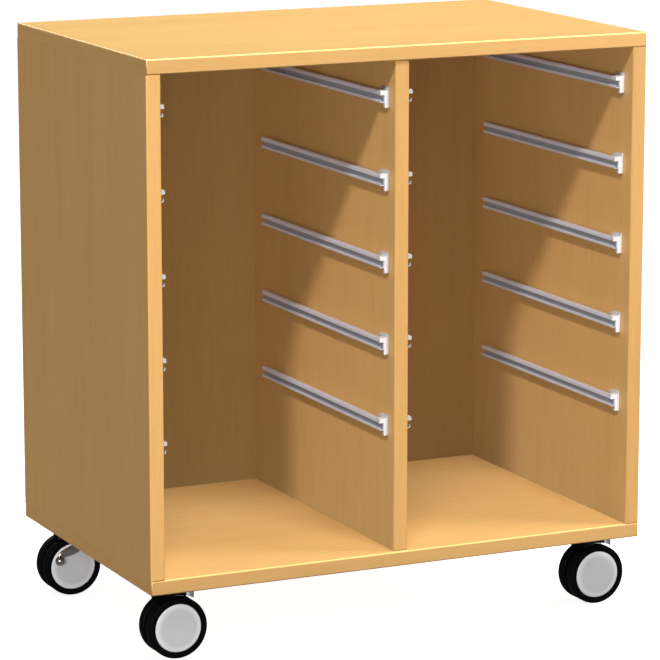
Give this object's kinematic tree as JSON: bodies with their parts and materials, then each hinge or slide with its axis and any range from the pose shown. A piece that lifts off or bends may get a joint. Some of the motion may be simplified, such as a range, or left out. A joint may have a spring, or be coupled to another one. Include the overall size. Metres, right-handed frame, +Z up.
{
  "type": "mobile storage cupboard",
  "caption": "Open-fronted mobile tray cupboard with a middle partition, lipped metal tray runners along its inner walls and twin-wheel swivel casters, braked at the rear.",
  "frame": {"origin": "on the floor, under the middle of the carcass", "axes": "+Z up; the open front faces -Y; +X is to the right seen from the front"},
  "size_m": [0.7, 0.45, 0.7711],
  "materials": {
    "beech_board": "satin lacquered beech effect",
    "aluminium": "satin extrusion",
    "white_plastic": "satin",
    "zinc_steel": "bright zinc",
    "black_wheel": "satin",
    "grey_cap": "satin",
    "chrome": "polished"
  },
  "bodies": {
    "carcass": {"top_board": "beech_board", "bottom_board": "beech_board", "left_side": "beech_board", "right_side": "beech_board", "partition": "beech_board", "back_board": "beech_board", "left_bay_left_runner_1": "aluminium", "left_bay_left_runner_2": "aluminium", "left_bay_left_runner_3": "aluminium", "left_bay_left_runner_4": "aluminium", "left_bay_left_runner_5": "aluminium", "left_bay_right_runner_1": "aluminium", "left_bay_right_runner_2": "aluminium", "left_bay_right_runner_3": "aluminium", "left_bay_right_runner_4": "aluminium", "left_bay_right_runner_5": "aluminium", "right_bay_left_runner_1": "aluminium", "right_bay_left_runner_2": "aluminium", "right_bay_left_runner_3": "aluminium", "right_bay_left_runner_4": "aluminium", "right_bay_left_runner_5": "aluminium", "right_bay_right_runner_1": "aluminium", "right_bay_right_runner_2": "aluminium", "right_bay_right_runner_3": "aluminium", "right_bay_right_runner_4": "aluminium", "right_bay_right_runner_5": "aluminium", "front_left_caster_plate": "zinc_steel", "front_left_caster_kingpin": "zinc_steel", "front_right_caster_plate": "zinc_steel", "front_right_caster_kingpin": "zinc_steel", "rear_left_caster_plate": "zinc_steel", "rear_left_caster_kingpin": "zinc_steel", "rear_right_caster_plate": "zinc_steel", "rear_right_caster_kingpin": "zinc_steel"},
    "front_left_fork": {"front_left_caster_housing": "zinc_steel", "front_left_caster_axle": "zinc_steel"},
    "front_left_front_wheel": {"front_left_caster_front_wheel": "black_wheel", "front_left_caster_front_cap": "grey_cap"},
    "front_left_rear_wheel": {"front_left_caster_rear_wheel": "black_wheel", "front_left_caster_rear_cap": "grey_cap"},
    "front_right_fork": {"front_right_caster_housing": "zinc_steel", "front_right_caster_axle": "zinc_steel"},
    "front_right_front_wheel": {"front_right_caster_front_wheel": "black_wheel", "front_right_caster_front_cap": "grey_cap"},
    "front_right_rear_wheel": {"front_right_caster_rear_wheel": "black_wheel", "front_right_caster_rear_cap": "grey_cap"},
    "rear_left_fork": {"rear_left_caster_housing": "zinc_steel", "rear_left_caster_axle": "zinc_steel"},
    "rear_left_front_wheel": {"rear_left_caster_front_wheel": "black_wheel", "rear_left_caster_front_cap": "grey_cap"},
    "rear_left_rear_wheel": {"rear_left_caster_rear_wheel": "black_wheel", "rear_left_caster_rear_cap": "grey_cap"},
    "rear_left_brake": {"rear_left_caster_brake_lever": "chrome"},
    "rear_right_fork": {"rear_right_caster_housing": "zinc_steel", "rear_right_caster_axle": "zinc_steel"},
    "rear_right_front_wheel": {"rear_right_caster_front_wheel": "black_wheel", "rear_right_caster_front_cap": "grey_cap"},
    "rear_right_rear_wheel": {"rear_right_caster_rear_wheel": "black_wheel", "rear_right_caster_rear_cap": "grey_cap"},
    "rear_right_brake": {"rear_right_caster_brake_lever": "chrome"}
  },
  "joints": [
    {"name": "front_left_swivel", "type": "hinge", "parent": "carcass", "child": "front_left_fork", "pos_m": [-0.304, -0.169, 0.09], "axis": [0, 0, 1], "continuous": true},
    {"name": "front_left_front_spin", "type": "hinge", "parent": "front_left_fork", "child": "front_left_front_wheel", "pos_m": [-0.298, -0.169, 0.04], "axis": [0, 1, 0], "continuous": true},
    {"name": "front_left_rear_spin", "type": "hinge", "parent": "front_left_fork", "child": "front_left_rear_wheel", "pos_m": [-0.298, -0.169, 0.04], "axis": [0, 1, 0], "continuous": true},
    {"name": "front_right_swivel", "type": "hinge", "parent": "carcass", "child": "front_right_fork", "pos_m": [0.304, -0.169, 0.09], "axis": [0, 0, 1], "continuous": true},
    {"name": "front_right_front_spin", "type": "hinge", "parent": "front_right_fork", "child": "front_right_front_wheel", "pos_m": [0.31, -0.169, 0.04], "axis": [0, 1, 0], "continuous": true},
    {"name": "front_right_rear_spin", "type": "hinge", "parent": "front_right_fork", "child": "front_right_rear_wheel", "pos_m": [0.31, -0.169, 0.04], "axis": [0, 1, 0], "continuous": true},
    {"name": "rear_left_swivel", "type": "hinge", "parent": "carcass", "child": "rear_left_fork", "pos_m": [-0.304, 0.169, 0.09], "axis": [0, 0, 1], "continuous": true},
    {"name": "rear_left_front_spin", "type": "hinge", "parent": "rear_left_fork", "child": "rear_left_front_wheel", "pos_m": [-0.31, 0.169, 0.04], "axis": [0, 1, 0], "continuous": true},
    {"name": "rear_left_rear_spin", "type": "hinge", "parent": "rear_left_fork", "child": "rear_left_rear_wheel", "pos_m": [-0.31, 0.169, 0.04], "axis": [0, 1, 0], "continuous": true},
    {"name": "rear_left_brake_swing", "type": "hinge", "parent": "rear_left_fork", "child": "rear_left_brake", "pos_m": [-0.298, 0.1462, 0.087], "axis": [0, 1, 0], "range_deg": [-8, 25]},
    {"name": "rear_right_swivel", "type": "hinge", "parent": "carcass", "child": "rear_right_fork", "pos_m": [0.304, 0.169, 0.09], "axis": [0, 0, 1], "continuous": true},
    {"name": "rear_right_front_spin", "type": "hinge", "parent": "rear_right_fork", "child": "rear_right_front_wheel", "pos_m": [0.298, 0.169, 0.04], "axis": [0, 1, 0], "continuous": true},
    {"name": "rear_right_rear_spin", "type": "hinge", "parent": "rear_right_fork", "child": "rear_right_rear_wheel", "pos_m": [0.298, 0.169, 0.04], "axis": [0, 1, 0], "continuous": true},
    {"name": "rear_right_brake_swing", "type": "hinge", "parent": "rear_right_fork", "child": "rear_right_brake", "pos_m": [0.31, 0.1462, 0.087], "axis": [0, 1, 0], "range_deg": [-8, 25]}
  ]
}
